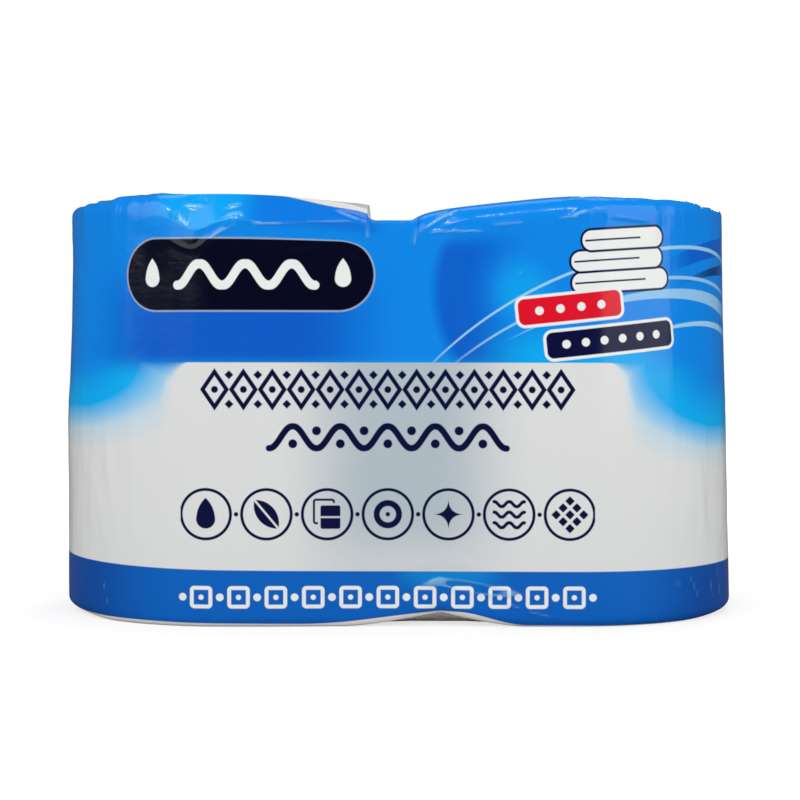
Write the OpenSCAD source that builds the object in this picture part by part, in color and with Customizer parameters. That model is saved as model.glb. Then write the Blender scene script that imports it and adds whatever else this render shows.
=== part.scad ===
// Pack of two large paper towel rolls that stand on their ends, wrapped tightly in printed film.
// The film is drawn round both rolls and bridges the valley between them at the front and back.
// Its ends are folded and heat sealed over the rolls' ends, so the pack is one closed body.
// X runs along the pack, Y from front to back and Z up. The origin is at the middle of the base.
//
// The body's skin is a grid. A column runs up the outside from the middle of the base to the middle
// of the top, and a row is one ring round the pack. Columns and rows are doubled where the film
// has a sharp edge.

/* [Rolls] */
// Diameter of one wrapped roll, which is also the distance between the two roll axes
roll_d = 176; // [140:1:220]
// Height of the wrapped rolls, without the folded film on their top ends
roll_h = 213.8; // [160:0.1:280]
// Diameter of the hole in each roll's core, where the film dips
core_d = 45; // [30:1:60]
// Depth of that dip
core_dip = 3; // [1:0.5:6]

/* [Edges] */
// Radius of the film round the top edges
shoulder_r = 9; // [4:0.5:12]
// Radius of the film round the bottom edges
foot_r = 5; // [3:0.5:10]

/* [Valley between the rolls] */
// How far the front and back panels sink between the rolls
panel_sink = 2; // [0:0.5:6]
// How far the film's top edge has sunk where it meets the groove
sag = 7.5; // [2:0.5:9]
// Width of the groove across the top
groove_w = 23.5; // [16:0.5:32]
// Depth of the groove
groove_depth = 12.5; // [10:0.1:16]
// Radius of the groove's bottom corners
groove_r = 4; // [2:0.5:6]
// How far the groove lies to the left of the middle
groove_shift = 3; // [0:0.5:6]
// How far the film's bottom edge is lifted at its highest point
arch = 7; // [2:0.5:9]
// How far that point lies to the right of the middle
arch_shift = 20; // [0:1:30]
// Width of the base film that stays flat between the two lifted edges
base_film_w = 106; // [80:1:130]

/* [Folds and seals] */
// Thickness of one folded layer of film, with the air under it
fold_t = 0.6; // [0.3:0.1:1]
// How far the front flap's free edge lies past the middle of the top
flap_overlap = 9; // [7:0.5:11]
// Angle to each side that the tuck takes at each end of the pack, between the flaps
tuck_angle = 38; // [25:1:50]
// Width of the lap seam up the back
seam_w = 18; // [12:1:24]
// Thickness of the lap seam
seam_t = 0.6; // [0.3:0.1:1]
// Place of the lap seam's middle, to the right of the pack's middle
seam_shift = 40; // [34:1:50]
// Number of pleats round each outer end of the pack
pleat_count = 9; // [5:1:11]
// How far a pleat stands out
pleat_t = 1; // [0.3:0.1:1.5]
// How far a pleat reaches down the side of the pack
pleat_reach = 26; // [16:1:40]
// Flat ring between the dip over a core and the pleats' inner ends
pleat_ring = 8; // [4:1:20]

/* [Colours] */
// Printed film
film_blue = "#0a78d8";

/* [Hidden] */

roll_r = roll_d / 2;
axis_x = roll_d / 2;                       // the roll axes stand at plus and minus this
core_r = core_d / 2;
dip_floor_r = core_r - 3;                  // the dip over a core slopes between these two radii
dip_rim_r = core_r + 1;
groove_left = -groove_shift - groove_w / 2;
groove_right = -groove_shift + groove_w / 2;
seam_left = seam_shift - seam_w / 2;
seam_right = seam_shift + seam_w / 2;
base_half = base_film_w / 2;
pleat_zone = 80;                           // the pleats lie within this angle of each pack end
pleat_inner_r = core_r + pleat_ring;
crisp = 0.4;                               // half the width of a sharp edge in the film
middle_r = 4;                              // distance of the innermost ring from the middle line

function clamped(t) = max(0, min(1, t));
function ease(t) = let (c = clamped(t)) c * c * (3 - 2 * c);
function mix(a, b, t) = a + (b - a) * t;

// Evenly spaced values from a up to, but not including, b
function spread(a, b, n) = [for (i = [0:n - 1]) mix(a, b, i / n)];

// The next functions give the film's shape, as heights and depths at a place seen from above.

// How much of the sag a place has: none at the roll axes, all of it at the groove
function sag_share(x) =
    x < groove_left ? pow(clamped((x + axis_x) / (groove_left + axis_x)), 2)
    : x > groove_right ? pow(clamped((axis_x - x) / (axis_x - groove_right)), 2)
    : 1;

// Fall of the top film below the roll height, outside the groove: most at the front and back edges
function top_fall(x, y) = sag * sag_share(x) * (0.25 + 0.75 * pow(y / roll_r, 2));

// Depth of the groove below the roll height, with rounded corners at its floor
function groove_fall(x) =
    let (inside = min(x - groove_left, groove_right - x))
    inside < 0 ? 0 : groove_depth - groove_r * 0.6 * pow(clamped(1 - inside / groove_r), 2);

function top_drop(x, y) = max(top_fall(x, y), groove_fall(x));

// Lift of the bottom edge, which fades out towards the flat base film
function arch_share(x) =
    pow(clamped(x < arch_shift ? (x + axis_x) / (arch_shift + axis_x)
                               : (axis_x - x) / (axis_x - arch_shift)), 2);
function bottom_lift(x, y) =
    arch * arch_share(x) * ease((abs(y) - base_half) / (roll_r - foot_r - base_half));

// Dip of the film over the nearer core
function core_fall(x, y) =
    let (from_axis = norm([abs(x) - axis_x, y]))
    core_dip * clamped((dip_rim_r - from_axis) / (dip_rim_r - dip_floor_r));

// Inward sinking of the front and back panels
function panel_fall(x) = panel_sink * ease(1 - abs(x) / (axis_x * 0.85));

// Pleat profile round an end: it rises slowly and falls steeply
function pleat_wave(angle) =
    let (turn = (angle + pleat_zone) * pleat_count / (2 * pleat_zone), part = turn - floor(turn))
    abs(angle) >= pleat_zone ? 0
    : (part < 0.75 ? part / 0.75 : (1 - part) / 0.25) * ease((pleat_zone - abs(angle)) / 15);

// Height of the folded layers: the tuck lies lowest, then the back flap, then the front flap
function fold_height(angle, r, y) =
    abs(angle) < tuck_angle && r > pleat_inner_r ? 0
    : y < flap_overlap ? 2 * fold_t
    : fold_t;

// A column is [x on the middle line, direction x, direction y, angle from the end of the pack].
panel_x = concat(
    spread(-axis_x, groove_left - crisp, 9),
    [groove_left - crisp],
    [groove_left + crisp],
    spread(groove_left + groove_r, groove_right - groove_r, 2),
    [groove_right - groove_r, groove_right - crisp],
    spread(groove_right + crisp, seam_left - crisp, 3),
    [seam_left - crisp, seam_left + crisp, seam_right - crisp],
    spread(seam_right + crisp, axis_x, 5),
    [axis_x]
);
tuck_crisp = crisp / roll_r * 180 / PI;
end_angles = concat(
    [for (a = spread(-90, -tuck_angle - tuck_crisp, 12)) if (a > -90) a],
    [-tuck_angle - tuck_crisp],
    spread(-tuck_angle + tuck_crisp, tuck_angle - tuck_crisp, 20),
    [tuck_angle - tuck_crisp],
    spread(tuck_angle + tuck_crisp, 90, 12)
);
panel_n = len(panel_x);
end_n = len(end_angles);

columns = concat(
    [for (x = panel_x) [x, 0, -1, 90]],
    [for (a = end_angles) [axis_x, cos(a), sin(a), a]],
    [for (i = [panel_n - 1:-1:0]) [panel_x[i], 0, 1, 90]],
    [for (a = end_angles) [-axis_x, -cos(a), -sin(a), -a]]
);
column_n = len(columns);

// A row is [distance from the middle line, share of the height, offset, tilt, share of the pleats].
// A row with a share of 0 lies its offset above the bottom edge, and one with a share of 1 lies
// its offset below the top edge. Tilt is the angle of the skin's outward normal above level.
base_rings = concat(
    [middle_r, dip_floor_r],
    spread(dip_rim_r, base_half, 2),
    spread(base_half, roll_r - foot_r, 2)
);
top_rings = concat(
    [for (r = spread(roll_r - shoulder_r, pleat_inner_r, 5)) if (r < roll_r - shoulder_r) r],
    [pleat_inner_r, dip_rim_r, dip_floor_r]
);

function ring_pleat(r) = clamped((r - pleat_inner_r) / (roll_r - shoulder_r - pleat_inner_r));

rows = concat(
    [for (r = base_rings) [r, 0, 0, -90, 0]],
    [for (a = [-90:30:0]) [roll_r - foot_r * (1 - cos(a)), 0, foot_r * (1 + sin(a)), a, 0]],
    [for (i = [1:3]) [roll_r, i / 5, 0, 0, 0]],
    [for (t = [3:-1:1]) [roll_r, 1, shoulder_r + pleat_reach * t / 3, 0, 1 - t / 3]],
    [for (a = [0:22.5:90]) [roll_r - shoulder_r * (1 - cos(a)), 1, shoulder_r * (1 - sin(a)), a, 1]],
    [for (r = top_rings) [r, 1, 0, 90, ring_pleat(r)]],
    [for (r = [flap_overlap + crisp, flap_overlap - crisp, middle_r]) [r, 1, 0, 90, 0]]
);
row_n = len(rows);

// Place of the skin where a column and a row cross
function skin_point(column, row) =
    let (
        r = row[0],
        tilt = row[3],
        x = column[0] + column[1] * r,
        y = column[2] * r,
        low = bottom_lift(x, y) + (row[1] == 0 ? row[2] : foot_r),
        high = roll_h - top_drop(x, y) - (row[1] == 1 ? row[2] : shoulder_r),
        on_panel = column[1] == 0,
        on_seam = on_panel && column[2] > 0 && x > seam_left && x < seam_right,
        sink = on_panel ? panel_fall(x) * pow(r / roll_r, 2) : 0,
        pleat = pleat_t * row[4] * pleat_wave(column[3]),
        out = pleat * cos(tilt) - sink + (on_seam ? seam_t * cos(tilt) : 0),
        folds = tilt > 0 ? fold_height(column[3], r, y) * sin(tilt) : 0,
        dip = abs(tilt) == 90 ? core_fall(x, y) * sign(tilt) : 0
    )
    [
        x + column[1] * out,
        y + column[2] * out,
        mix(low, high, row[1]) + max(0, pleat * sin(tilt)) + folds - dip,
    ];

points = [for (row = rows) for (column = columns) skin_point(column, row)];

// Two triangles on a skin cell, clockwise from outside
function cell(a, b, c, d) = [[a, b, c], [a, c, d]];
function at(row, i) = row * column_n + i % column_n;

// Ends of the grid: a strip between the panels' innermost points, and a fan at each roll axis
function end_strip(row) = [
    for (i = [0:panel_n - 2])
        each cell(
            at(row, i),
            at(row, 2 * panel_n + end_n - 1 - i),
            at(row, 2 * panel_n + end_n - 2 - i),
            at(row, i + 1)
        )
];
function end_fan(row, first) = [
    for (k = [1:end_n]) [at(row, first), at(row, first + k + 1), at(row, first + k)]
];
function end_faces(row) = concat(
    end_strip(row), end_fan(row, panel_n - 1), end_fan(row, 2 * panel_n + end_n - 1)
);
function turned(faces) = [for (f = faces) [f[0], f[2], f[1]]];

faces = concat(
    [for (j = [0:row_n - 2]) for (i = [0:column_n - 1])
        each cell(at(j, i), at(j + 1, i), at(j + 1, i + 1), at(j, i + 1))],
    end_faces(row_n - 1),
    turned(end_faces(0))
);

module wrapped_pack() {
    color(film_blue) polyhedron(points = points, faces = faces, convexity = 6);
}

wrapped_pack();
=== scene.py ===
import math

import bpy
import numpy as np
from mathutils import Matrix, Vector


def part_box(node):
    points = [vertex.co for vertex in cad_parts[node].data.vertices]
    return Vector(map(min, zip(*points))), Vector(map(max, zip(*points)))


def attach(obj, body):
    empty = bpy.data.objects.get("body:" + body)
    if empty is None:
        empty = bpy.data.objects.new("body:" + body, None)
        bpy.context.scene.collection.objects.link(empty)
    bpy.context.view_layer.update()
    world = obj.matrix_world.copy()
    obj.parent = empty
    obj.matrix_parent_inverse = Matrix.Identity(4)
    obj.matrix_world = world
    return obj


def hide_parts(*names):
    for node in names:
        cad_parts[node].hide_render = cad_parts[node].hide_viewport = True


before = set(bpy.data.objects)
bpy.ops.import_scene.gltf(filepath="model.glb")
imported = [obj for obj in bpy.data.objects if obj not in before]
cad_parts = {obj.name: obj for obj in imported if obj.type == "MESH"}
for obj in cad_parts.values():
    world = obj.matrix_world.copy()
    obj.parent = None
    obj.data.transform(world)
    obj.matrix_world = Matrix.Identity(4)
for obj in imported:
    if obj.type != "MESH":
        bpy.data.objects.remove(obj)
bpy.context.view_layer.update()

# The printed film. It is one sheet of glossy polyethylene, drawn round both paper rolls as a tube,
# lapped and sealed up the back, and shrunk tight. Its two ends are folded in over the rolls' ends
# and heat sealed. Lengths in this section are in millimetres, until the mesh is scaled to metres.

MM = 0.001
low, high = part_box("wrapped_pack")

# Folded ends: one layer of film with the air under it, and the flaps, tucks and pleats
fold_t = 0.6
flap_edge_y = 9.0
tuck_angle = 38.0
seal_w = 9.0
pleat_t = 1.0
pleat_rise = 0.8
pleat_count = 9
pleat_zone = 80.0
pleat_reach = 26.0
low_pleats = 0.65

# The two rolls, and the film's edges round them
roll_r = round((high[1] - low[1]) / 2 / MM)
axis_x = roll_r
roll_h = (high[2] - low[2]) / MM - 2 * fold_t - pleat_rise
shoulder_r = 9.0
foot_r = 5.0
end_edge_r = 4.0
core_r = 22.5
core_dip = 3.0
dip_slope = 3.0
pleat_inner_r = core_r + 8.0
crown = 1.0
droop_left_end = 1.5
droop_right = 1.2
droop_right_end = 0.5
end_lift_left = 2.3
end_lift_right = 1.1

# Valley between the rolls: the sunk panels, the sagging top edge, the groove and the arch below
panel_sink = 2.0
sag_left = 7.5
sag_right = 9.7
corner_sag = 2.2
groove_depth = 13.2
groove_edge_r = 1.6
groove_r = 4.0
groove_left = -15.9
groove_right = 8.75
arch = 7.0
arch_left = -28.0
arch_x = 20.0
arch_right = 62.0
arch_start = 66.0
base_half = 53.0

# Lap seam up the back, and the step of the print from one end of the film to the other
seam_left = 31.0
seam_right = 49.0
seam_t = 0.6
register_gap = 1.4

# Height of the flat facet's lower edge along the film, and how much wider the pack's ends are than
# round at each height
facet_z = ([-124, -116, -108, -102, -90, -80, -72, -14], [204.8, 200, 196, 195.5, 200, 202, 200.3, 199.6])
left_width = ([0, 100, 150, 214], [1.4, 1.3, -0.6, -2.2])
right_width = ([0, 100, 214], [0.6, -1.9, -4.9])


def stations(stops, pitch):
    """Places from the first stop to the last, at most a pitch apart, with one at each stop."""
    places = []
    for a, b in zip(stops, stops[1:]):
        n = max(1, math.ceil(abs(b - a) / pitch - 1e-6))
        places += [a + (b - a) * i / n for i in range(n)]
    return np.array(places + [stops[-1]])


# Columns run up the pack. Each starts on the middle line of the ends, at column_x. A sharp edge of
# the film lies between two stations that are a crisp width to each side of it.
crisp = 0.35
column_pitch = 1.7
panel_x = stations(
    [
        -axis_x,
        groove_left - 6,
        groove_left - crisp,
        groove_left + crisp,
        groove_left + groove_r,
        groove_right - groove_r,
        groove_right - crisp,
        groove_right + crisp,
        seam_left - crisp,
        seam_left + crisp,
        seam_right - crisp,
        seam_right + crisp,
        axis_x,
    ],
    column_pitch,
)
crisp_angle = math.degrees(crisp / roll_r)
end_angle = stations(
    [
        -90,
        -tuck_angle - crisp_angle,
        -tuck_angle + crisp_angle,
        tuck_angle - crisp_angle,
        tuck_angle + crisp_angle,
        90,
    ],
    column_pitch,
)
end_a = np.radians(end_angle[1:-1])
n_end = len(end_a)
n_panel = len(panel_x)
column_x = np.concatenate([panel_x, np.full(n_end, axis_x), panel_x[::-1], np.full(n_end + 1, -axis_x)])
toward_x = np.concatenate([np.zeros(n_panel), np.cos(end_a), np.zeros(n_panel), -np.cos(end_a), [0]])
toward_y = np.concatenate([-np.ones(n_panel), np.sin(end_a), np.ones(n_panel), -np.sin(end_a), [-1]])
column_angle = np.concatenate(
    [np.full(n_panel, 90.0), end_angle[1:-1], np.full(n_panel, 90.0), -end_angle[1:-1], [90.0]]
)
half_turn = math.pi * roll_r
girth = 4 * axis_x + 2 * half_turn
along = np.concatenate(
    [
        panel_x,
        axis_x + (end_a + math.pi / 2) * roll_r,
        2 * axis_x + half_turn - panel_x[::-1],
        3 * axis_x + half_turn + (end_a + math.pi / 2) * roll_r,
        [girth - axis_x],
    ]
)

# Rows run round the pack, from the middle of the base, up the side, to the middle of the top.
# A row has its distance from the middle line, its share of the height, its offset from the bottom
# edge, the tilt of its outward normal, its share of the pleats and its place up the film.
rows = []
dip_radii = [core_r + 1, core_r - dip_slope]
base_r = stations([0, 6, *reversed(dip_radii), base_half, roll_r - foot_r], 6.0)
foot_start = foot_r * (1 - math.pi / 2)
for r in base_r[:-1]:
    rows.append((r, 0, 0, -90, 0, foot_start - (roll_r - foot_r - r)))
for tilt in stations([-90, 0], 11.0):
    a = math.radians(tilt)
    inset = foot_r * (1 - math.cos(a))
    rows.append((roll_r - inset, 0, foot_r * (1 + math.sin(a)), tilt, 0, foot_r + foot_r * a))
wall_low = foot_r
wall_high = roll_h - shoulder_r
wall_h = wall_high - wall_low
pleat_start = wall_high - pleat_reach
fine_to = 30
fine_z = stations([wall_low, fine_to], 1.3)
coarse_z = stations([fine_to, pleat_start], 2.8)
for z in np.concatenate([fine_z[1:], coarse_z[1:]]):
    rows.append((roll_r, (z - wall_low) / wall_h, 0, 0, 0, z))
for z in stations([pleat_start, wall_high], 1.1)[1:-1]:
    rows.append((roll_r, (z - wall_low) / wall_h, 0, 0, (z - pleat_start) / pleat_reach, z))
for tilt in stations([0, 90], 5.0):
    a = math.radians(tilt)
    inset = shoulder_r * (1 - math.cos(a))
    rows.append((roll_r - inset, 1, 0, tilt, 1, wall_high + shoulder_r * a))
crest = wall_high + shoulder_r * math.pi / 2
top_edge_r = roll_r - shoulder_r
flap_radii = [flap_edge_y + crisp, flap_edge_y - crisp]
top_r = stations([top_edge_r, pleat_inner_r, *dip_radii, *flap_radii, 0], 2.2)
for r in top_r[1:]:
    pleat_part = (r - pleat_inner_r) / (top_edge_r - pleat_inner_r)
    rows.append((r, 1, 0, 90, max(0, pleat_part), crest + top_edge_r - r))
row_r, row_share, row_offset, row_tilt, row_pleat, row_up = np.array(rows).T[:, :, None]


def ease(t):
    """0 up to 0 and 1 from 1 on, with a smooth rise between."""
    t = np.clip(t, 0, 1)
    return t * t * (3 - 2 * t)


def ramp(value, start, end):
    """0 before start and 1 past end, with a smooth rise between. Start may lie past end."""
    return ease((value - start) / (end - start))


def from_middle_line(x, y):
    """Distance from the line between the two roll axes, seen from above."""
    return np.hypot(np.clip(np.abs(x) - axis_x, 0, None), y)


def sag_at(x):
    """Fall of the film's top edge, from none at the roll axes to all of it at the groove."""
    left = sag_left * np.clip((x + axis_x) / (groove_left + axis_x), 0, 1) ** 2
    right = sag_right * np.clip((axis_x - x) / (axis_x - groove_right), 0, 1) ** 1.5
    from_groove = np.clip(np.where(x < 0, groove_left - x, x - groove_right), 0, None)
    corner = corner_sag * np.exp(-from_groove / 5)
    return np.where(x < 0, left, right) + corner * (left + right > 0)


def top_drop(x, y):
    """Fall of the top film below the rolls' height: the sag and crown at the edges, and the groove."""
    middle_share = np.where(x < 0, 0.15, 0.75)
    fall = sag_at(x) * (middle_share + (1 - middle_share) * (y / roll_r) ** 2)
    inside = np.minimum(x - groove_left, groove_right - x)
    corner = groove_r * 0.6 * np.clip(1 - inside / groove_r, 0, 1) ** 2
    groove = np.where(inside < 0, 0, groove_depth - corner)
    rounding = crown * (from_middle_line(x, y) / roll_r) ** 3
    right = droop_right * ramp(x, 0, 60) + droop_right_end * ramp(x, 105, 167)
    left = droop_left_end * ramp(x, -128, -154)
    return np.maximum(fall, groove) + rounding + np.where(x > 0, right, left)


def bottom_lift(x, y, r):
    """Lift of the film's bottom edge, under the valley and at the pack's ends."""
    rising = (x - arch_left) / (arch_x - arch_left)
    falling = (arch_right - x) / (arch_right - arch_x)
    share = np.clip(np.where(x < arch_x, rising, falling), 0, 1) ** 1.5
    valley = arch * share * ramp(np.abs(y), arch_start, roll_r - foot_r)
    end_lift = np.where(x < 0, end_lift_left, end_lift_right)
    return valley + end_lift * ramp(np.abs(x), 142, 172) * ramp(r, 55, 85)


def pleat_wave(angle):
    """Profile of the pleats round an end: each rises slowly and falls steeply."""
    turn = (angle + pleat_zone) * pleat_count / (2 * pleat_zone)
    part = turn - np.floor(turn)
    wave = np.where(part < 0.75, part / 0.75, (1 - part) / 0.25)
    return np.where(np.abs(angle) < pleat_zone, wave * ramp(np.abs(angle), pleat_zone, pleat_zone - 15), 0)


def fold_height(angle, r, y):
    """Height of the folded layers: the tuck lies lowest, then the back flap, then the front flap."""
    flaps = np.where(y < flap_edge_y, 2 * fold_t, fold_t)
    return np.where((np.abs(angle) < tuck_angle) & (r > pleat_inner_r), 0, flaps)


def crease_between(a, b, a0, b0, a1, b1, width, rise):
    """Height of a straight crease between two places, at every point (a, b)."""
    run_a, run_b = a1 - a0, b1 - b0
    length = math.hypot(run_a, run_b)
    part = ((a - a0) * run_a + (b - b0) * run_b) / length**2
    across = ((b - b0) * run_a - (a - a0) * run_b) / length
    return rise * ramp(part, 0, 0.25) * ramp(part, 1, 0.75) * np.exp(-((across / width) ** 2))


def crease(s0, up0, s1, up1, width, rise):
    """The same over the film's own map, for the walls and shoulders."""
    return crease_between(film_s, film_up, s0, up0, s1, up1, width, rise)


def ring_ridge(s0, up0, half_s, half_up, width, rise):
    """Height of a low ridge round an oval dent, at every point."""
    away = np.hypot((film_s - s0) / half_s, (film_up - up0) / half_up)
    return rise * np.exp(-(((away - 1) * half_up / width) ** 2))


# The shoulder's profile: round nearly everywhere, sharp at the groove, and a flat facet at the
# left of the front, where the film is drawn straight from the wall to the top
on_panel = toward_x == 0
in_groove = on_panel & (column_x > groove_left) & (column_x < groove_right)
film_s = np.broadcast_to(np.where(along > girth / 2, along - girth, along), (len(rows), len(along)))
film_up = np.broadcast_to(row_up, film_s.shape)
front_s = film_s[:1]
facet = ramp(front_s, -124, -98) * (front_s < groove_left)
tilt = np.radians(row_tilt)
bend = np.where((row_share == 1) & (row_tilt <= 90), row_tilt / 90, 0)
arc_in = np.where(row_share == 1, (1 - np.cos(tilt)) * (1 - facet) + bend * facet, 0)
arc_down = np.where(row_share == 1, (1 - np.sin(tilt)) * (1 - facet) + (1 - bend) * facet, 1)
to_end = ramp(np.abs(column_x + toward_x * roll_r), 118, 168)
edge_r = np.where(in_groove, groove_edge_r, shoulder_r + (end_edge_r - shoulder_r) * to_end)
on_arc = (row_share == 1) & (row_r >= roll_r - shoulder_r - 0.01)

# Where each point of the sheet lies once it is wrapped
r = np.where(on_arc, roll_r - edge_r * arc_in, row_r)
x = column_x + toward_x * r
y = toward_y * r
lift = bottom_lift(x, y, r)
bottom = lift + np.where(row_share == 0, row_offset, foot_r)
top = roll_h - top_drop(x, y)
facet_low = np.interp(front_s, *facet_z)
shoulder_h = edge_r * (1 - facet) + (top - facet_low) * facet
on_wall = bottom + (top - shoulder_h - bottom) * row_share
z = np.where(row_share == 1, top - shoulder_h * arc_down, on_wall)

# Out of the surface: pleats round the ends, lower at the right of the front, and creases that the
# shrinking left. A crease has its two ends on the film's map, its width and its height.
pleat_share = 1 - low_pleats * ramp(front_s, 95, 120) * ramp(front_s, 240, 210)
pleats = pleat_t * pleat_share * row_pleat * pleat_wave(column_angle)
out = pleats
front_creases = [
    (-102, 194, -84, 202, 1.1, 0.9),
    (-88, 199, -79, 203, 0.9, 0.45),
    (-114, 193, -97, 195, 1.3, 0.4),
    (-110, 213, -96, 214.5, 1.0, 0.6),
    (-87, 211.5, -76, 212.5, 0.9, 0.6),
    (-88, 206.8, -75, 207.6, 1.0, 0.7),
    (-86, 203, -15, 205.5, 0.9, 0.45),
    (-74, 203, -56, 204.4, 0.8, 0.3),
    (-33, 213, -18, 206, 1.0, 0.75),
    (-30, 214, -15.2, 209, 1.0, 0.4),
    (-17.4, 207, -16, 195, 1.0, 0.6),
    (-24, 187, -20, 196, 1.8, 0.45),
    (-62, 191, -30, 195, 2.0, 0.2),
    (9.2, 206.5, 32, 215, 1.0, 0.8),
    (9.2, 206, 46, 201, 0.9, 0.7),
    (20, 206, 38, 209, 0.9, 0.35),
    (42, 204.4, 64, 204, 1.0, 0.6),
    (9.2, 204, 26, 198, 1.2, 0.35),
    (6.6, 192, 8.4, 204, 1.1, 0.55),
    (76, 204.2, 88, 205, 0.9, 0.6),
    (84, 205, 94, 208, 0.9, 0.8),
    (80, 213, 93, 214, 0.9, 0.5),
    (55, 176, 61, 179, 1.6, 0.6),
    (54, 174.5, 60, 177, 1.3, -0.4),
    (100, 206, 130, 203, 1.6, 0.4),
    (-155, 98, -144, 34, 2.2, 0.5),
    (-164, 76, -150, 30, 2.2, 0.5),
    (-140, 60, -128, 34, 2.4, 0.25),
    (-158, 27, -150, 4, 1.1, 0.5),
    (158, 92, 166, 34, 2.4, 0.45),
    (168, 24, 174, 6, 1.6, 0.5),
    (150, 26, 160, 8, 2.0, 0.45),
    (142, 22, 150, 10, 1.8, 0.3),
    (178, 28, 182, 6, 1.7, 0.5),
    (50, 12, 61, 9.5, 1.0, 0.6),
    (60, 9, 78, 4.5, 1.2, 0.5),
    (0, 27, 40, 29, 2.4, 0.3),
    (4, 31, 36, 33, 2.2, 0.25),
]
for line in front_creases:
    out = out + crease(*line)

# A flat dent in the film over the arch, with a ridge round it and a crease at its left
out = out + ring_ridge(35, 17, 20, 2.6, 0.8, 0.7) + crease(14, 17.4, 24, 17, 0.9, 0.7)
creasing = out - pleats
chance = np.random.default_rng(11)


def drawn(span):
    """A seeded number out of a span, or a plain number as it is."""
    return chance.uniform(*span) if isinstance(span, tuple) else span


def end_creases(count, away, foot, reach, lean, width, rise, downward=0):
    """Seeded creases that run up the film round the pack's ends, in the form of the list above."""
    made = []
    for _ in range(count):
        s0 = chance.choice([-1, 1]) * drawn(away)
        up0 = drawn(foot)
        run = drawn(reach)
        s1 = s0 + chance.uniform(-lean, lean)
        made.append((s0, up0 - downward * run, s1, up0 + run, drawn(width), drawn(rise)))
    return made


across_shoulders = end_creases(70, (95, 350), (200, 212), (8, 22), 6, (1.4, 2.6), (0.12, 0.4), downward=1)
up_walls = end_creases(44, (135, 310), (30, 70), (40, 90), 9, (2.2, 4.5), (0.1, 0.4))
up_from_foot = end_creases(40, (130, 330), 4, (12, 30), 7, (1.4, 2.6), (0.1, 0.35))
for line in across_shoulders + up_walls + up_from_foot:
    out = out + crease(*line)

# Creases in the folded ends run out from the cores, and four ridges lie where the film gathers
end_share = ramp(from_middle_line(x, y), 82, 70) * (row_tilt == 90)
for _ in range(90):
    side = chance.choice([-1, 1])
    angle = chance.uniform(0, 2 * math.pi)
    near, far = chance.uniform(28, 50), chance.uniform(62, 84)
    lean = chance.uniform(-0.22, 0.22)
    x0, y0 = side * axis_x + near * math.cos(angle), near * math.sin(angle)
    x1, y1 = side * axis_x + far * math.cos(angle + lean), far * math.sin(angle + lean)
    ridge = crease_between(x, y, x0, y0, x1, y1, chance.uniform(1.0, 2.2), chance.uniform(0.25, 0.8))
    out = out + ridge * end_share
for y0 in (-50, 50):
    for x0 in (-158, 158):
        ridge = crease_between(x, y, x0, y0, x0 * 0.68, y0 * 0.2, 1.6, 1.0)
        out = out + ridge * end_share

# The lap seam, and a slow unevenness of the walls
on_seam = on_panel & (toward_y > 0) & (x > seam_left) & (x < seam_right)
out = out + np.where(on_seam, seam_t * np.cos(tilt), 0)
slow = 0.25 * np.sin(film_s / 17 + 0.7 * np.sin(film_up / 29)) * np.sin(film_up / 23 + 1.3)
out = out + slow * np.cos(tilt) ** 2

sink = np.where(on_panel, panel_sink * ease(1 - np.abs(x) / (axis_x * 0.85)) * (r / roll_r) ** 2, 0)
level_out = out * np.cos(tilt) - sink
wider = np.where(x < 0, np.interp(z, *left_width), np.interp(z, *right_width))
spread = wider * np.sign(x) * np.clip((np.abs(x) - axis_x) / roll_r, 0, 1)
folds = np.where(row_tilt > 0, fold_height(column_angle, r, y) * np.sin(tilt), 0)
from_axis = np.hypot(np.abs(x) - axis_x, y)
dip = core_dip * ramp(from_axis, core_r + 2, core_r - 4)
dip = np.where(np.abs(row_tilt) == 90, dip, 0) * np.sign(row_tilt)
points = np.stack(
    [
        x + toward_x * level_out + spread,
        y + toward_y * level_out,
        z + np.maximum(0, out * np.sin(tilt)) + folds - dip,
    ],
    axis=-1,
)

# The sheet starts as a flat grid, whose points move to their places
bpy.ops.object.select_all(action="DESELECT")
n_rows, n_columns = x.shape
bpy.ops.mesh.primitive_grid_add(x_subdivisions=n_columns - 1, y_subdivisions=n_rows - 1, size=1)
film = bpy.context.object
film.name = "printed_film"
sheet = film.data
on_grid = np.empty(len(sheet.vertices) * 3)
sheet.vertices.foreach_get("co", on_grid)
on_grid = on_grid.reshape(-1, 3)
column = np.rint((on_grid[:, 0] + 0.5) * (n_columns - 1)).astype(int)
row = np.rint((on_grid[:, 1] + 0.5) * (n_rows - 1)).astype(int)
sheet.vertices.foreach_set("co", (points[row, column] * MM).ravel())

# The listed creases are also kept as a number at each point, for a painted highlight along them
crease_data = sheet.attributes.new("Crease", "FLOAT", "POINT")
crease_data.data.foreach_set("value", creasing[row, column])

# The print's own map is in metres: along the film from the middle of the front, and up it. The
# print sags with the film's top edge, and climbs by the register gap once round the pack.
corner_point = np.empty(len(sheet.loops), dtype=int)
sheet.loops.foreach_get("vertex_index", corner_point)
corner_column = column[corner_point].reshape(-1, 4)
corner_row = row[corner_point].reshape(-1, 4)
corner_s = along[corner_column]
wraps = corner_s.mean(axis=1, keepdims=True) > girth / 2
corner_s = corner_s - np.where(wraps, girth, 0)
pulled = sag_at(x) * ramp(z, 186, 200)
print_up = np.where(row_share == 1, film_up, z + pulled)
print_up = np.where(film_up < foot_r, film_up + lift, print_up)
past_seam = corner_s > girth / 2 - seam_left
drift = np.where(past_seam, corner_s - girth, corner_s) * register_gap / girth
corner_up = print_up[corner_row, corner_column] + drift
while sheet.uv_layers:
    sheet.uv_layers.remove(sheet.uv_layers[0])
print_map = sheet.uv_layers.new(name="Print")
print_map.data.foreach_set("uv", (np.stack([corner_s, corner_up], axis=-1) * MM).ravel())

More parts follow.
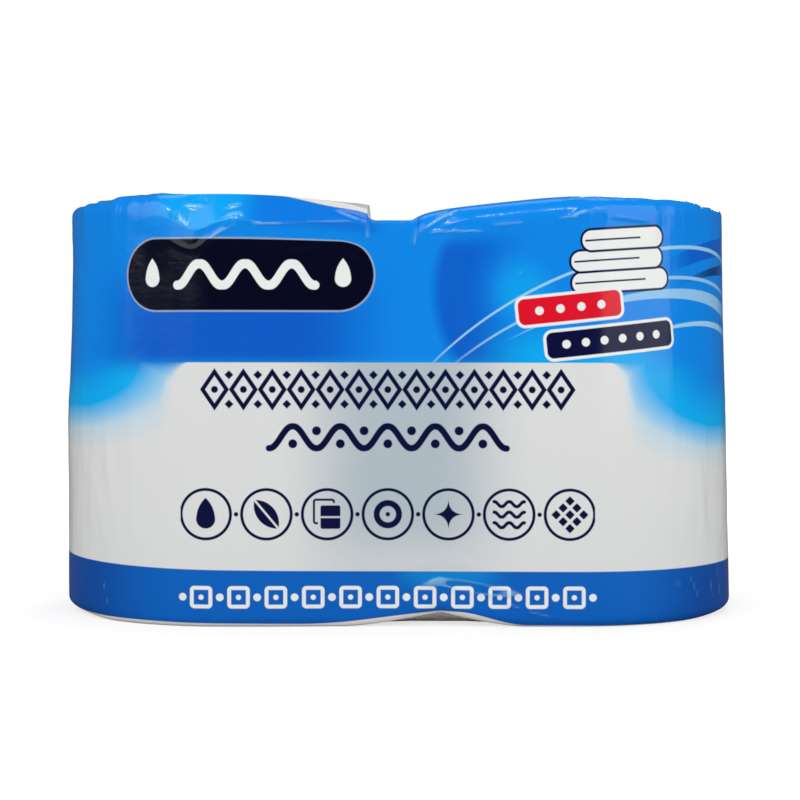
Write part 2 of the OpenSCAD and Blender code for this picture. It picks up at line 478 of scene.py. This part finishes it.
# The map for baking lays the front half of the film above the back half.
face_s = corner_s.mean(axis=1, keepdims=True)
behind = np.abs(face_s) > girth / 4
shifted = np.where(behind, corner_s - np.sign(face_s) * girth / 2, corner_s)
share_up = (film_up[corner_row, corner_column] - film_up.min()) / (film_up.max() - film_up.min())
bake_u = 0.01 + 0.98 * (shifted / (girth / 2) + 0.5)
bake_v = 0.005 + 0.49 * share_up + np.where(behind, 0, 0.5)
bake_map = sheet.uv_layers.new(name="OFBake")
bake_map.data.foreach_set("uv", np.stack([bake_u, bake_v], axis=-1).ravel())
sheet.uv_layers.active = print_map

bpy.ops.object.mode_set(mode="EDIT")
bpy.ops.mesh.select_all(action="SELECT")
bpy.ops.mesh.remove_doubles(threshold=0.00002)
bpy.ops.mesh.normals_make_consistent(inside=False)
bpy.ops.object.mode_set(mode="OBJECT")
bpy.ops.object.shade_smooth_by_angle(angle=math.radians(50))


class Ink:
    """A number that varies over a surface. Operators on it add Math nodes to the open material."""

    tree = None

    def __init__(self, socket):
        self.socket = socket

    @classmethod
    def node(cls, kind, settings=None, inputs=None, output=0):
        """A new node of any kind, with its settings, and its inputs as values or links."""
        made = cls.tree.nodes.new(kind)
        for name, value in (settings or {}).items():
            setattr(made, name, value)
        for name, value in (inputs or {}).items():
            if isinstance(value, Ink):
                cls.tree.links.new(value.socket, made.inputs[name])
            else:
                made.inputs[name].default_value = value
        return cls(made.outputs[output])

    def output(self, name):
        """Another output of the node that this one comes from."""
        return Ink(self.socket.node.outputs[name])

    def math(self, operation, *others, clamp=False):
        settings = {"operation": operation, "use_clamp": clamp}
        return Ink.node("ShaderNodeMath", settings, dict(enumerate((self, *others))))

    def __add__(self, other):
        return self.math("ADD", other)

    __radd__ = __add__

    def __sub__(self, other):
        return self.math("SUBTRACT", other)

    def __rsub__(self, other):
        return Ink.node("ShaderNodeMath", {"operation": "SUBTRACT"}, {0: other, 1: self})

    def __mul__(self, other):
        return self.math("MULTIPLY", other)

    __rmul__ = __mul__

    def __truediv__(self, other):
        return self.math("DIVIDE", other)

    def __pow__(self, other):
        return self.math("POWER", other)

    def __abs__(self):
        return self.math("ABSOLUTE")

    def above(self, other):
        return self.math("MAXIMUM", other)

    def below(self, other):
        return self.math("MINIMUM", other)

    def root(self):
        return self.math("SQRT")

    def sine(self):
        return self.math("SINE")

    def cosine(self):
        return self.math("COSINE")

    def wrapped(self, pitch):
        """Distance past the nearest multiple of the pitch, from minus to plus half of it."""
        return self.math("WRAP", pitch / 2, -pitch / 2)

    def paint(self, under, colour):
        """The colour under it, with another laid over it where this number is 1."""
        return Ink.node("ShaderNodeMix", {"data_type": "RGBA"}, {0: self, 6: under, 7: colour}, 2)


def open_material(name):
    material = bpy.data.materials.new(name)
    material.use_nodes = True
    Ink.tree = material.node_tree
    return material


def ink_rgb(red, green, blue):
    """Linear colour of an ink from the values it shows on a screen, 0 to 255."""
    return tuple(
        c / 255 / 12.92 if c / 255 <= 0.04045 else ((c / 255 + 0.055) / 1.055) ** 2.4
        for c in (red, green, blue)
    ) + (1.0,)


def cover(distance, soft=0.22):
    """1 inside a printed shape and 0 outside it, from the distance to its edge in millimetres."""
    return distance.math("MULTIPLY_ADD", -0.5 / soft, 0.5, clamp=True)


def fade(value, start, end):
    """0 at start and 1 at end, smoothly."""
    settings = {"interpolation_type": "SMOOTHSTEP"}
    return Ink.node("ShaderNodeMapRange", settings, {0: value, 1: start, 2: end})


def disc(px, py, r):
    """Distance to a disc round the origin."""
    return (px * px + py * py).root() - r


def slab(px, py, half_w, half_h, corner):
    """Distance to a box with round corners."""
    qx = (abs(px) - (half_w - corner)).above(0)
    qy = (abs(py) - (half_h - corner)).above(0)
    return (qx * qx + qy * qy).root() - corner


def outline(distance, thickness):
    """Distance to a line along a shape's edge."""
    return abs(distance) - thickness / 2


azure = ink_rgb(0, 136, 234)
deep_azure = ink_rgb(0, 92, 202)
cyan = ink_rgb(0, 174, 244)
pale_cyan = ink_rgb(168, 216, 240)
navy = ink_rgb(4, 10, 60)
badge_navy = ink_rgb(0, 2, 30)
band_blue = ink_rgb(0, 98, 192)
# Painted sheen: a lighter blue for the band over the dent
band_sheen = ink_rgb(0, 136, 210)
band_dark = ink_rgb(0, 70, 156)
film_white = ink_rgb(224, 225, 224)
# Painted shade: the film's white, greyer where the hollow between the rolls lies behind it
valley_shade_white = ink_rgb(180, 193, 200)
foot_cream = ink_rgb(252, 244, 236)
# Painted shade: the same film's white, a little darker on the top end, which faces the overhead light
shaded_end_white = ink_rgb(216, 216, 213)
bright_white = ink_rgb(238, 240, 238)
red = ink_rgb(226, 10, 40)
silver = ink_rgb(150, 168, 196)
cardboard = ink_rgb(176, 158, 136)
core_shadow = ink_rgb(150, 152, 156)

film_print = open_material("printed_polyethylene")

# Places on the print, in millimetres. s runs along the film from the middle of the front, and up
# runs up it. around is the way from the nearer middle, front or back. panel_s is s on the front's
# print, which comes again on the back, and row_x is the same from the middle of its rows.
place = Ink.node("ShaderNodeUVMap", {"uv_map": "Print"})
split = Ink.node("ShaderNodeSeparateXYZ", None, {0: place})
s = split * 1000
up = split.output("Y") * 1000
pack_end = axis_x + half_turn / 2
around = pack_end - abs(abs(s) - pack_end)
panel_s = s.wrapped(girth / 2)
row_x = panel_s + 6


def both(*distances):
    """Distance to the part that all the shapes share."""
    shared = distances[0]
    for other in distances[1:]:
        shared = shared.above(other)
    return shared


def either(*distances):
    """Distance to the nearest of the shapes."""
    joined = distances[0]
    for other in distances[1:]:
        joined = joined.below(other)
    return joined


def turned(px, py, degrees):
    """The same place, as seen from axes that are turned to the left."""
    c, d = math.cos(math.radians(degrees)), math.sin(math.radians(degrees))
    return px * c + py * d, py * c - px * d


def diamond(px, py, half_w, half_h):
    """Distance to a diamond that stands on its point."""
    scale = half_w * half_h / math.hypot(half_w, half_h)
    return (abs(px) / half_w + abs(py) / half_h - 1) * scale


def lens(px, py, half_w, half_h):
    """Distance to a pointed shape between two arcs, half_h long each way from its middle."""
    r = (half_h**2 + half_w**2) / (2 * half_w)
    return disc(abs(px) + (r - half_w), py, r)


def drop_shape(px, py, r, height):
    """Distance to a drop: a disc with a point above it."""
    return either(disc(px, py, r), both(lens(px, py, r - 0.1, height), py * -1))


def wave_line(px, py, period, height, thickness, half_periods):
    """Distance to a wave of one thickness, from crest or trough to crest or trough, with round ends."""
    turn = px * (2 * math.pi / period)
    slope = turn.sine() * (height * 2 * math.pi / period)
    wave = abs(py - turn.cosine() * height) / (slope * slope + 1).root() - thickness / 2
    end_x = abs(px) - half_periods * period / 2
    end_y = py - height * math.cos(math.pi * half_periods)
    return either(both(wave, end_x), disc(end_x, end_y, thickness / 2))


# Fields of colour: blue above, reaching lower at the pack's ends, and white below it
white_top = 131
toward_right = fade(s, -20, 20)
patch_w = toward_right * 8 + 46
patch_h = toward_right * 10 + 22
patch_x = (178 - around).above(0) / patch_w
patch_y = (white_top - up) / patch_h
past_patch = ((patch_x * patch_x + patch_y * patch_y).root() - 1) * patch_h
patch_soft = fade(around, 104, 120) * 12 + 0.4
past_blue = (white_top - up).below(past_patch)
above_edge = (1 - past_blue / patch_soft).below(1).above(0)
halo = (1.4 - past_blue / (patch_soft * 1.35)).below(1).above(0) * fade(around, 100, 122)

# The white is greyer in the valley, a painted shade of the hollow between the rolls behind the film, and
# pale cyan beside the blue
valley = fade(abs(panel_s - 2), 66, 14) * (fade(up, 26, 60) * 0.6 + 0.4)
white_field = valley.paint(film_white, valley_shade_white)
white_field = (halo * 0.8).paint(white_field, pale_cyan)

# The blue has soft deep and light tones, each a mask, its strength and its ink. Two are painted light.
from_sweep = disc(panel_s - 80, up - 166, 0)
deep_sweep = (
    cover(from_sweep - 63, 3)
    * fade(from_sweep, 24, 50)
    * fade(panel_s, 120, 60)
    * fade(up, 202, 184)
)
blue_tones = [
    (fade(up, 192, 152) * fade(abs(panel_s + 84), 92, 34), 1, deep_azure),
    (deep_sweep, 0.9, deep_azure),
    (fade(up, 154, 134) * fade(abs(panel_s - 90), 60, 20), 0.9, cyan),
    (fade(disc(panel_s - 60, up - 166, 0), 20, 4), 0.6, cyan),
    # Painted shade: the top of the shoulder at the left of the groove is deeper blue, as it faces the
    # light
    (fade(up, 196, 204) * fade(abs(s + 46), 42, 30), 0.45, deep_azure),
    # Painted highlight: light cyan on the flat facet at the left, for the light that it mirrors
    (fade(up, 196, 206) * fade(abs(s + 98), 32, 14), 0.6, cyan),
    (fade(past_blue, -26, 0) * fade(up, 136, 122), 1, cyan),
]
blue_field = azure
for mask, strength, ink in blue_tones:
    blue_field = (mask * strength).paint(blue_field, ink)
colour = above_edge.paint(white_field, blue_field)

# Light sweeps over the blue: crescents between an outer and an inner arc, which fade out at their
# tips. Each has its arcs' centres and radii, its ink and strength, and where it starts and is full.
sweeps = [
    ((210, -1), 197, (202, -11), 197, deep_azure, 0.9, 132, 160),
    ((210, -13), 195, (195, -19), 195, navy, 0.8, 138, 180),
    ((150, -24), 192, (141, -31), 194, pale_cyan, 0.75, 8, 60),
    ((168, 2), 150, (163, -2), 151.5, pale_cyan, 0.9, 8, 60),
    ((158, -11.3), 201.2, (157, -12), 200.1, pale_cyan, 0.85, 4, 30),
    ((150, -22), 196.4, (149, -22.6), 195.3, pale_cyan, 0.75, 12, 50),
]
for (ax, ay), outer, (bx, by), inner, ink, strength, start, full in sweeps:
    crescent = both(disc(panel_s - ax, up - ay, outer), disc(panel_s - bx, up - by, inner) * -1)
    mask = cover(crescent) * strength * cover(white_top - up)
    mask = mask * fade(panel_s, start, full) * fade(panel_s, 219, 182)
    colour = mask.paint(colour, ink)

# Badge: a capsule with a pale rim and a white wave between two drops
badge_x, badge_y = panel_s + 76, up - 174
capsule = slab(badge_x, badge_y, half_w=63, half_h=17.5, corner=17.4)
colour = cover(capsule - 0.9).paint(colour, silver)
colour = cover(capsule).paint(colour, badge_navy)
badge_wave = wave_line(badge_x, badge_y, period=22.8, height=5.2, thickness=4.4, half_periods=3)
colour = cover(badge_wave).paint(colour, bright_white)
badge_drop = drop_shape(abs(badge_x) - 48, badge_y + 2, r=4, height=10)
colour = cover(badge_drop).paint(colour, bright_white)

# A stack of three folded cloths, in white with navy outlines
for cloth_s, cloth_up, half_w in ((111, 171.5, 27), (109, 182, 25.5), (112, 192.2, 23)):
    cloth_x, cloth_y = turned(panel_s - cloth_s, up - cloth_up, 4)
    cloth = slab(cloth_x, cloth_y, half_w, half_h=5.4, corner=5.2)
    colour = cover(cloth - 0.6).paint(colour, navy)
    colour = cover(cloth + 0.6).paint(colour, bright_white)
    fold_line = both(abs(cloth_y) - 0.45, slab(cloth_x + 6, cloth_y, half_w - 8, half_h=1, corner=0.4))
    colour = cover(fold_line).paint(colour, navy)

# Two tilted labels under them, each with a white border and a row of dots
for label_s, label_up, half_w, ink, dots in ((84, 158, 26, red, 4), (106, 142.5, 34, navy, 6)):
    label_x, label_y = turned(panel_s - label_s, up - label_up, 6)
    label = slab(label_x, label_y, half_w, half_h=6.4, corner=3.2)
    colour = cover(label - 1.5).paint(colour, bright_white)
    colour = cover(label).paint(colour, ink)
    pitch = 2 * half_w / (dots + 1)
    dot = both(disc((label_x + pitch / 2).wrapped(pitch), label_y, 2.1), abs(label_x) - pitch * dots / 2)
    colour = cover(dot).paint(colour, bright_white)

# Navy ornament on the white, at the front and back: a chain of quilting diamonds over a wave
row_y = up - 117.5
chain_pitch = 14.2
chain_x = row_x.wrapped(chain_pitch)
chain = either(
    outline(diamond(chain_x, row_y, half_w=5.9, half_h=8.6), thickness=2.1),
    disc(chain_x, row_y, 1.7),
    both(
        diamond((row_x + chain_pitch / 2).wrapped(chain_pitch), abs(row_y) - 7.2, 2.2, 2.2),
        abs(row_x) - chain_pitch * 6.3,
    ),
)
colour = cover(both(chain, abs(row_x) - chain_pitch * 6.5)).paint(colour, navy)
row_y = up - 94
ribbon_pitch = 23.4
low_dots = disc(row_x.wrapped(ribbon_pitch), row_y + 3.2, 2.2)
high_dots = disc((row_x + ribbon_pitch / 2).wrapped(ribbon_pitch), row_y - 3.2, 2.2)
ribbon = either(
    wave_line(row_x, row_y, ribbon_pitch, height=5.4, thickness=3.2, half_periods=5),
    both(either(low_dots, high_dots), abs(row_x) - ribbon_pitch * 2.4),
)
colour = cover(ribbon).paint(colour, navy)

# Seven rings in a row, each round a plain figure, with a dot in every gap
ring_pitch = 29.9
row_y = up - 56
ring = outline(disc(row_x.wrapped(ring_pitch), row_y, 12.2), thickness=1.5)
gap_dot = disc((row_x + ring_pitch / 2).wrapped(ring_pitch), row_y, 1.1)
rings = both(either(ring, gap_dot), abs(row_x) - ring_pitch * 3.42)
centre = [row_x - (k - 3) * ring_pitch for k in range(7)]
water_drop = drop_shape(centre[0], row_y + 2.4, r=4.7, height=10.5)
leaf_x, leaf_y = turned(centre[1], row_y, 40)
leaf = both(lens(leaf_x, leaf_y, half_w=4.6, half_h=9.2), 0.5 - abs(leaf_x))
back_sheet = slab(centre[2] + 1.6, row_y - 1.4, half_w=4.9, half_h=5.8, corner=1)
front_sheet = slab(centre[2] - 1.6, row_y + 1.4, half_w=4.9, half_h=5.8, corner=1)
back_line = both(outline(back_sheet, thickness=1.1), 1.2 - front_sheet)
folded_sheet = both(front_sheet, 0.45 - abs(row_y + 1.4))
from_centre = disc(centre[3], row_y, 0)
round_end = either(outline(from_centre - 5.5, thickness=3), from_centre - 1.1)
star = ((abs(centre[4]) + 0.02) ** 0.5 + (abs(row_y) + 0.02) ** 0.5 - 2.85) * 1.5
ripple = wave_line(centre[5], row_y.wrapped(5.2), period=7.4, height=1.2, thickness=1.7, half_periods=2)
ripples = both(ripple, abs(row_y) - 7.8)
quilt_x, quilt_y = turned(centre[6], row_y, 45)
quilt_patch = slab(quilt_x.wrapped(4.8), quilt_y.wrapped(4.8), half_w=1.7, half_h=1.7, corner=0.5)
quilt = both(quilt_patch, slab(quilt_x, quilt_y, half_w=7, half_h=7, corner=0.5))
figures = either(water_drop, leaf, back_line, folded_sheet, round_end, star, ripples, quilt)
colour = cover(either(rings, figures)).paint(colour, navy)

# Band round the foot, with a row of white squares and dots, over a bare lower edge
on_body = Ink.node("ShaderNodeTexCoord").output("Object")
body = Ink.node("ShaderNodeSeparateXYZ", None, {0: on_body})
body_x = body * 1000
body_y = body.output("Y") * 1000
band_low = fade(body_x, -48, 26) * fade(body_x, 64, 28) * 7 + 0.9 - body_x / 110
colour = cover(up - band_low - 0.6).paint(colour, foot_cream)
# The band is lighter near its top over the dent, a painted sheen, and darker round the pack's ends
band_ink_and_sheen = (fade(up, 16, 27) * fade(abs(panel_s - 24), 32, 12) * 0.85).paint(band_blue, band_sheen)
band_ink_and_sheen = (fade(around, 112, 172) * 0.9).paint(band_ink_and_sheen, band_dark)
band_top = (1 - toward_right) * around * around * (3.3 / 208**2) + 27.8
in_band = cover(up - band_top) * cover(band_low - up)
colour = in_band.paint(colour, band_ink_and_sheen)
row_y = up - 15
band_pitch = 18.4
square = slab(row_x.wrapped(band_pitch), row_y, half_w=4.6, half_h=4.6, corner=1.2)
band_row = either(
    outline(square, thickness=1.9),
    disc(row_x.wrapped(band_pitch), row_y, 1.3),
    disc((row_x + band_pitch / 2).wrapped(band_pitch), row_y, 1.9),
)
colour = cover(both(band_row, abs(row_x) - band_pitch * 5.6)).paint(colour, bright_white)

# A painted highlight in pale cyan lies along the listed creases, and the free edge of the lap seam has no
# print
crease_height = Ink.node("ShaderNodeAttribute", {"attribute_name": "Crease"}).output("Fac")
on_ink = cover(white_top - up).above(in_band)
crease_glint = fade(crease_height, 0.25, 0.8) * (on_ink - cover(capsule)).above(0) * 0.45
colour = crease_glint.paint(colour, pale_cyan)
bare_margin = cover(abs(s - (girth / 2 - seam_left - 1.9)) - 1.5)
colour = bare_margin.paint(colour, film_white)

# The print stops just past the top edge, and the film over the ends is white, painted a little darker as
# shade
top_edge = toward_right * fade(s, 330, 200) * 7 + fade(around, 110, 170) * 8 + (crest + 0.5)
top_edge = top_edge - fade(s, -66, -28) * fade(s, 0, -14) * 4.5
colour = cover(up - top_edge).paint(shaded_end_white, colour)

# Film over the ends: the cores show through it a little, with a painted shade for the dark inside them
from_core = disc(abs(body_x) - axis_x, body_y, 0)
over_end = cover(top_edge - up).above(cover(up - foot_start))
through_core = over_end * fade(from_core, core_r + 1.2, core_r - 0.4)
colour = (through_core * 0.5).paint(colour, cardboard)
in_core = over_end * fade(from_core, core_r - 2, core_r - 5)
colour = (in_core * 0.6).paint(colour, core_shadow)

# Fine unevenness: film grain, pull lines up and down the ends, and the ribs of the heat seal
grain = Ink.node("ShaderNodeTexNoise", None, {"Vector": on_body, "Scale": 420, "Detail": 2})
pull_map = Ink.node("ShaderNodeVectorMath", {"operation": "MULTIPLY"}, {0: place, 1: (160, 18, 1)})
pull = Ink.node("ShaderNodeTexNoise", None, {"Vector": pull_map, "Scale": 1, "Detail": 3})
cross_map = Ink.node("ShaderNodeVectorMath", {"operation": "MULTIPLY"}, {0: place, 1: (14, 150, 1)})
cross_pull = Ink.node("ShaderNodeTexNoise", None, {"Vector": cross_map, "Scale": 1, "Detail": 3})
crumple_form = {"Vector": on_body, "Scale": 55, "Detail": 4, "Distortion": 0.8}
crumple = Ink.node("ShaderNodeTexNoise", None, crumple_form)
seal = over_end * cover(body_y - flap_edge_y) * cover(flap_edge_y - seal_w - body_y)
ribs = (body_y * (2 * math.pi / 1.5)).sine() * seal
near_edges = fade(up, 168, 200).above(fade(up, 36, 8)).above(fade(around, 112, 150))
relief = (
    grain * 0.05
    + pull * (near_edges * 0.5 + 0.05)
    + cross_pull * 0.12
    + crumple * (over_end * 1.4 + near_edges * 0.35)
    + ribs * 0.3
)
bump = Ink.node("ShaderNodeBump", None, {"Strength": 1, "Distance": 0.0006, "Height": relief})
gloss = pull * 0.1 + grain * 0.06 + over_end * 0.1 + 0.08

surface = Ink.tree.nodes["Principled BSDF"].inputs
Ink.tree.links.new(colour.socket, surface["Base Color"])
Ink.tree.links.new(gloss.socket, surface["Roughness"])
Ink.tree.links.new(bump.socket, surface["Normal"])
surface["IOR"].default_value = 1.5

sheet.materials.append(film_print)
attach(film, "root")
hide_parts("wrapped_pack")

# Studio: a pale floor that turns to plain white away from the pack, a white surround, large soft
# boxes to the left and right, two small lamps that make the film glint, one overhead and one behind.
# The floor is darker where the film mirrors it, and brighter in the light that it sends back.


def grey(level):
    """Linear grey, from 0 for black to 1 for white."""
    return (level, level, level, 1)


bpy.ops.object.select_all(action="DESELECT")
bpy.ops.mesh.primitive_plane_add(size=8)
floor = bpy.context.object
floor.name = "floor"
floor_paint = open_material("pale_floor")
floor_place = Ink.node("ShaderNodeTexCoord").output("Object")
floor_away = Ink.node("ShaderNodeVectorMath", {"operation": "LENGTH"}, {0: floor_place}, "Value")
floor_ray = Ink.node("ShaderNodeLightPath")
whiteness = floor_ray.output("Is Camera Ray") * (fade(floor_away, 0.24, 0.6) * 0.3 + 0.7)
glow = whiteness.paint(grey(0), grey(1))
floor_shade = Ink.tree.nodes["Principled BSDF"].inputs
Ink.tree.links.new(glow.socket, floor_shade["Emission Color"])
floor_shade["Emission Strength"].default_value = 1
floor_grey = floor_ray.output("Is Diffuse Ray").paint(grey(0.34), grey(0.62))
floor_grey = floor_ray.output("Is Glossy Ray").paint(floor_grey, grey(0.08))
Ink.tree.links.new(floor_grey.socket, floor_shade["Base Color"])
floor_shade["Roughness"].default_value = 0.9
floor_shade["Specular IOR Level"].default_value = 0
floor.data.materials.append(floor_paint)

world = bpy.data.worlds.new("white_surround")
world.use_nodes = True
Ink.tree = world.node_tree
ray = Ink.node("ShaderNodeLightPath")
seen = ray.output("Is Camera Ray").above(ray.output("Is Transmission Ray"))
around_level = seen * 0.5 + 0.5 - ray.output("Is Glossy Ray") * 0.45
Ink.tree.links.new(around_level.socket, Ink.tree.nodes["Background"].inputs["Strength"])
Ink.tree.nodes["Background"].inputs["Color"].default_value = grey(1)
bpy.context.scene.world = world


def soft_box(name, location, width, height, watts):
    """A lamp of even light that points at the pack's middle. Its sizes are in metres."""
    lamp = bpy.data.lights.new(name, "AREA")
    lamp.shape = "RECTANGLE"
    lamp.size = width
    lamp.size_y = height
    lamp.energy = watts
    box = bpy.data.objects.new(name, lamp)
    bpy.context.collection.objects.link(box)
    box.location = location
    box.rotation_euler = (pack_middle - Vector(location)).to_track_quat("-Z", "Y").to_euler()


pack_middle = Vector((0, 0, 0.1))
soft_box("key_box", (-1.5, -1.3, 1.35), width=2.4, height=2.4, watts=22.8)
soft_box("fill_box", (1.5, -1.3, 1.1), width=2.4, height=2.4, watts=18.8)
soft_box("glint_left", (-0.3, -1.35, 1.5), width=0.2, height=0.16, watts=2)
soft_box("glint_right", (0.27, -1.35, 1.5), width=0.2, height=0.16, watts=2)
soft_box("top_box", (0, 0.35, 1.5), width=1.1, height=0.6, watts=2.5)
soft_box("rear_box", (0.7, 1.7, 1.0), width=0.8, height=0.8, watts=12)

# Camera: it stands a metre in front of the pack's middle, at about two thirds of the pack's height,
# and looks down by a degree and a half.

camera_data = bpy.data.cameras.new("camera")
camera_data.lens = 83.5
camera_data.sensor_width = 36
camera = bpy.data.objects.new("camera", camera_data)
bpy.context.collection.objects.link(camera)
camera.location = (0, -1.0, 0.136)
look_down = 1.48
camera.rotation_euler = (math.radians(90 - look_down), 0, 0)
bpy.context.scene.camera = camera

bpy.context.scene.view_settings.view_transform = "Standard"
